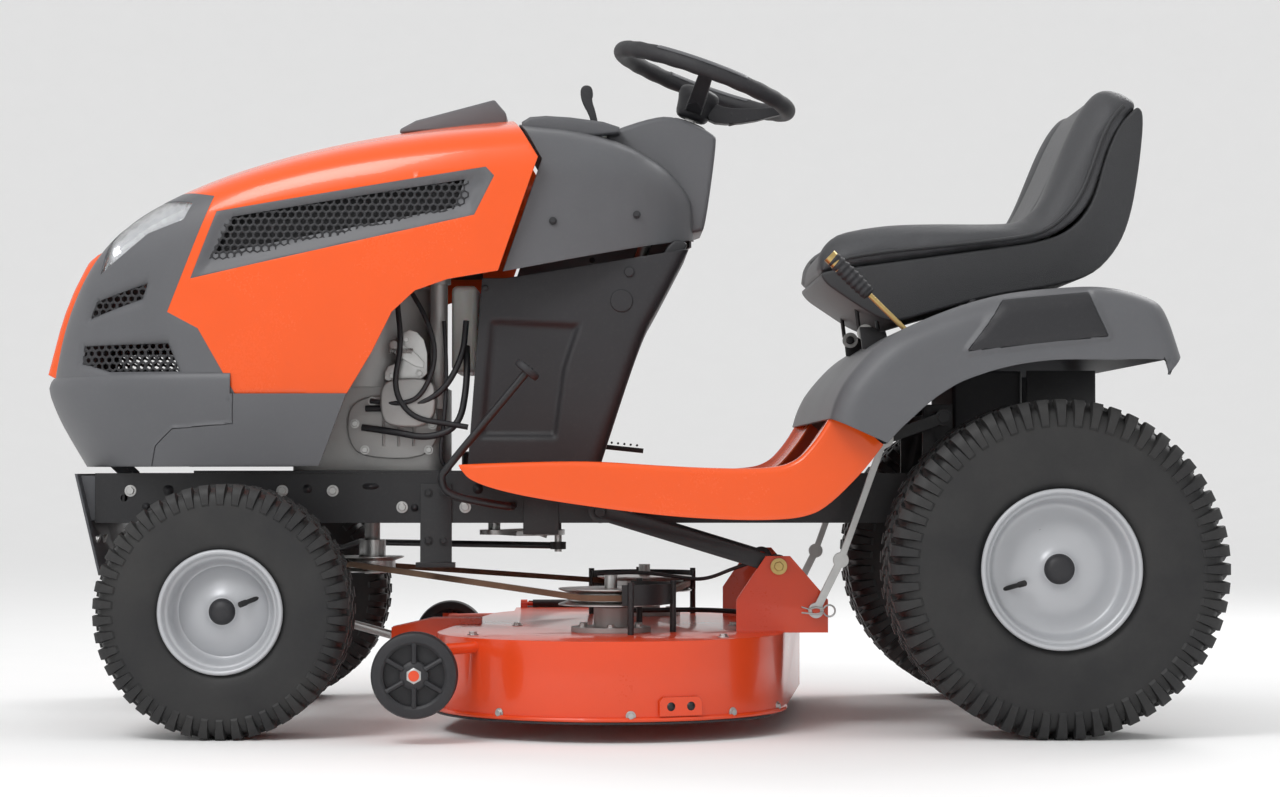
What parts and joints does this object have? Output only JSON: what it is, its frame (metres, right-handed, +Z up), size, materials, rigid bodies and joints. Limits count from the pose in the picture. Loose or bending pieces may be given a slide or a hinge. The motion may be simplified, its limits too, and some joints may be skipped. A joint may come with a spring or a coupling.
{
  "type": "riding lawn mower",
  "caption": "Front-engined riding lawn mower with a high-back seat, tilting hood, steered front wheels and a side-discharge mower deck that lifts on arms.",
  "frame": {"origin": "on the ground, under the middle of the machine's overall length and width", "axes": "+X forward, +Y to the driver's left, +Z up"},
  "size_m": [1.8379, 1.3, 1.1066],
  "materials": {
    "tyre_rubber": "matt moulded rubber",
    "rim_paint": "silver-grey semi-gloss paint",
    "frame_paint": "black semi-gloss paint",
    "bracket_paint": "dark grey paint",
    "steel": "zinc-plated steel",
    "cast_alloy": "as-cast aluminium",
    "black_plastic": "textured black plastic",
    "grey_moulding": "satin dark grey moulding",
    "orange_moulding": "gloss orange moulding",
    "deck_paint": "orange-red powder coat",
    "tank_plastic": "translucent white plastic",
    "lamp_lens": "clear lens",
    "seat_vinyl": "grey grained vinyl",
    "belt_rubber": "brown fabric-covered belt",
    "brass_rod": "yellow zinc-plated rod"
  },
  "bodies": {
    "root": {"frame_rails": "frame_paint", "crossmembers": "frame_paint", "frame_brackets": "frame_paint", "front_bracket": "bracket_paint", "front_axle": "frame_paint", "transaxle": "cast_alloy", "engine": "cast_alloy", "fuel_tank": "tank_plastic", "dash_cover": "grey_moulding", "console": "black_plastic", "footrest": "orange_moulding", "fender": "grey_moulding", "rear_frame": "frame_paint", "battery_box": "black_plastic", "seat_bracket": "frame_paint", "brake_pedal": "frame_paint", "drive_pedal": "black_plastic", "dash_levers": "black_plastic", "fender_lever": "brass_rod"},
    "steering_wheel": {"steering_wheel": "black_plastic", "steering_shaft": "steel"},
    "steering_sector": {"steering_sector": "steel"},
    "drag_link": {"drag_link": "frame_paint"},
    "tie_rod": {"tie_rod": "frame_paint"},
    "left_spindle": {"left_spindle": "frame_paint"},
    "right_spindle": {"right_spindle": "frame_paint"},
    "front_left_wheel": {"front_left_tyre": "tyre_rubber", "front_left_rim": "rim_paint"},
    "front_right_wheel": {"front_right_tyre": "tyre_rubber", "front_right_rim": "rim_paint"},
    "rear_left_wheel": {"rear_left_tyre": "tyre_rubber", "rear_left_rim": "rim_paint"},
    "rear_right_wheel": {"rear_right_tyre": "tyre_rubber", "rear_right_rim": "rim_paint"},
    "hood": {"hood_shell": "orange_moulding", "side_vents": "black_plastic", "nose_cowl": "grey_moulding", "headlamps": "lamp_lens", "bumper": "grey_moulding", "hood_scoop": "grey_moulding"},
    "seat": {"seat_base": "black_plastic", "seat_cushion": "seat_vinyl", "back_cushion": "seat_vinyl"},
    "deck": {"deck_shell": "deck_paint", "spindle_housings": "cast_alloy", "deck_belt": "belt_rubber"},
    "left_blade": {"left_blade": "steel"},
    "right_blade": {"right_blade": "steel"},
    "engine_pulley": {"engine_pulley": "steel"},
    "left_gauge_wheel": {"left_gauge_wheel": "black_plastic"},
    "right_gauge_wheel": {"right_gauge_wheel": "black_plastic"},
    "discharge_deflector": {"discharge_deflector": "black_plastic"},
    "lift_arms": {"lift_arms": "frame_paint"},
    "lift_rods": {"lift_rods": "steel"},
    "lift_shaft": {"lift_shaft": "frame_paint", "lift_lever": "black_plastic"},
    "front_link": {"front_link": "steel"}
  },
  "joints": [
    {"name": "steering", "type": "hinge", "parent": "root", "child": "steering_wheel", "pos_m": [-0.151, 0.11, 1.043], "axis": [-0.342, 0, 0.9397], "range_deg": [-270, 270]},
    {"name": "sector_pivot", "type": "hinge", "parent": "root", "child": "steering_sector", "pos_m": [0.195, 0.11, 0.3], "axis": [0, 0, 1], "range_deg": [-46, 46]},
    {"name": "left_kingpin", "type": "hinge", "parent": "root", "child": "left_spindle", "pos_m": [0.585, 0.38, 0.27], "axis": [0, 0, 1], "range_deg": [-46, 46]},
    {"name": "right_kingpin", "type": "hinge", "parent": "root", "child": "right_spindle", "pos_m": [0.585, -0.16, 0.27], "axis": [0, 0, 1], "range_deg": [-46, 46]},
    {"name": "tie_rod_pivot", "type": "hinge", "parent": "left_spindle", "child": "tie_rod", "pos_m": [0.48, 0.38, 0.246], "axis": [0, 0, 1], "range_deg": [-46, 46]},
    {"name": "drag_link_pivot", "type": "hinge", "parent": "steering_sector", "child": "drag_link", "pos_m": [0.09, 0.11, 0.278], "axis": [0, 0, 1], "range_deg": [-46, 46]},
    {"name": "front_left_axle", "type": "hinge", "parent": "left_spindle", "child": "front_left_wheel", "pos_m": [0.585, 0.495, 0.1905], "axis": [0, 1, 0], "continuous": true},
    {"name": "front_right_axle", "type": "hinge", "parent": "right_spindle", "child": "front_right_wheel", "pos_m": [0.585, -0.275, 0.1905], "axis": [0, 1, 0], "continuous": true},
    {"name": "rear_left_axle", "type": "hinge", "parent": "root", "child": "rear_left_wheel", "pos_m": [-0.665, 0.486, 0.254], "axis": [0, 1, 0], "continuous": true},
    {"name": "rear_right_axle", "type": "hinge", "parent": "root", "child": "rear_right_wheel", "pos_m": [-0.665, -0.266, 0.254], "axis": [0, 1, 0], "continuous": true},
    {"name": "hood_hinge", "type": "hinge", "parent": "root", "child": "hood", "pos_m": [0.833, 0.11, 0.432], "axis": [0, 1, 0], "range_deg": [0, 60]},
    {"name": "seat_hinge", "type": "hinge", "parent": "root", "child": "seat", "pos_m": [-0.403, 0.11, 0.622], "axis": [0, 1, 0], "range_deg": [0, 50]},
    {"name": "deck_lift", "type": "slide", "parent": "root", "child": "deck", "axis": [-0.1733, 0, 0.9849], "range_m": [0, 0.07107], "deforming": ["deck_belt"]},
    {"name": "lift_arm_pivot", "type": "hinge", "parent": "root", "child": "lift_arms", "pos_m": [0.021, 0.11, 0.337], "axis": [0, 1, 0], "range_deg": [0, 14.24]},
    {"name": "lift_shaft_pivot", "type": "hinge", "parent": "root", "child": "lift_shaft", "pos_m": [-0.515, 0.11, 0.484], "axis": [0, 1, 0], "range_deg": [-43.56, 0]},
    {"name": "lift_rod_pivot", "type": "hinge", "parent": "deck", "child": "lift_rods", "pos_m": [-0.314, 0.11, 0.184], "axis": [0, 1, 0], "range_deg": [0, 2.34]},
    {"name": "front_link_pivot", "type": "hinge", "parent": "root", "child": "front_link", "pos_m": [0.791, 0.11, 0.25], "axis": [0, 1, 0], "range_deg": [0, 9.12]},
    {"name": "left_blade_spindle", "type": "hinge", "parent": "deck", "child": "left_blade", "pos_m": [0.004, 0.35, 0.066], "axis": [0, 0, 1], "continuous": true},
    {"name": "right_blade_spindle", "type": "hinge", "parent": "deck", "child": "right_blade", "pos_m": [-0.056, -0.18, 0.066], "axis": [0, 0, 1], "continuous": true},
    {"name": "engine_crank", "type": "hinge", "parent": "root", "child": "engine_pulley", "pos_m": [0.395, 0.11, 0.248], "axis": [0, 0, 1], "continuous": true},
    {"name": "left_gauge_axle", "type": "hinge", "parent": "deck", "child": "left_gauge_wheel", "pos_m": [0.292, 0.63, 0.102], "axis": [0, 1, 0], "continuous": true},
    {"name": "right_gauge_axle", "type": "hinge", "parent": "deck", "child": "right_gauge_wheel", "pos_m": [0.292, -0.39, 0.102], "axis": [0, 1, 0], "continuous": true},
    {"name": "deflector_hinge", "type": "hinge", "parent": "deck", "child": "discharge_deflector", "pos_m": [0.05, -0.462, 0.156], "axis": [-1, 0, 0], "range_deg": [0, 80]}
  ],
  "couplings": [
    {"joint": "sector_pivot", "follows": "steering", "ratio": 0.16667},
    {"joint": "left_kingpin", "follows": "steering", "ratio": 0.16667},
    {"joint": "right_kingpin", "follows": "steering", "ratio": 0.16667},
    {"joint": "tie_rod_pivot", "follows": "steering", "ratio": -0.16667},
    {"joint": "drag_link_pivot", "follows": "steering", "ratio": -0.16667},
    {"joint": "lift_arm_pivot", "follows": "deck_lift", "rad_per_m": 3.4485},
    {"joint": "lift_shaft_pivot", "follows": "deck_lift", "rad_per_m": -10.648},
    {"joint": "lift_rod_pivot", "follows": "deck_lift", "rad_per_m": 0.52547},
    {"joint": "front_link_pivot", "follows": "deck_lift", "rad_per_m": 2.1904},
    {"joint": "right_blade_spindle", "follows": "left_blade_spindle", "ratio": 1},
    {"joint": "engine_crank", "follows": "left_blade_spindle", "ratio": 1.6522}
  ]
}
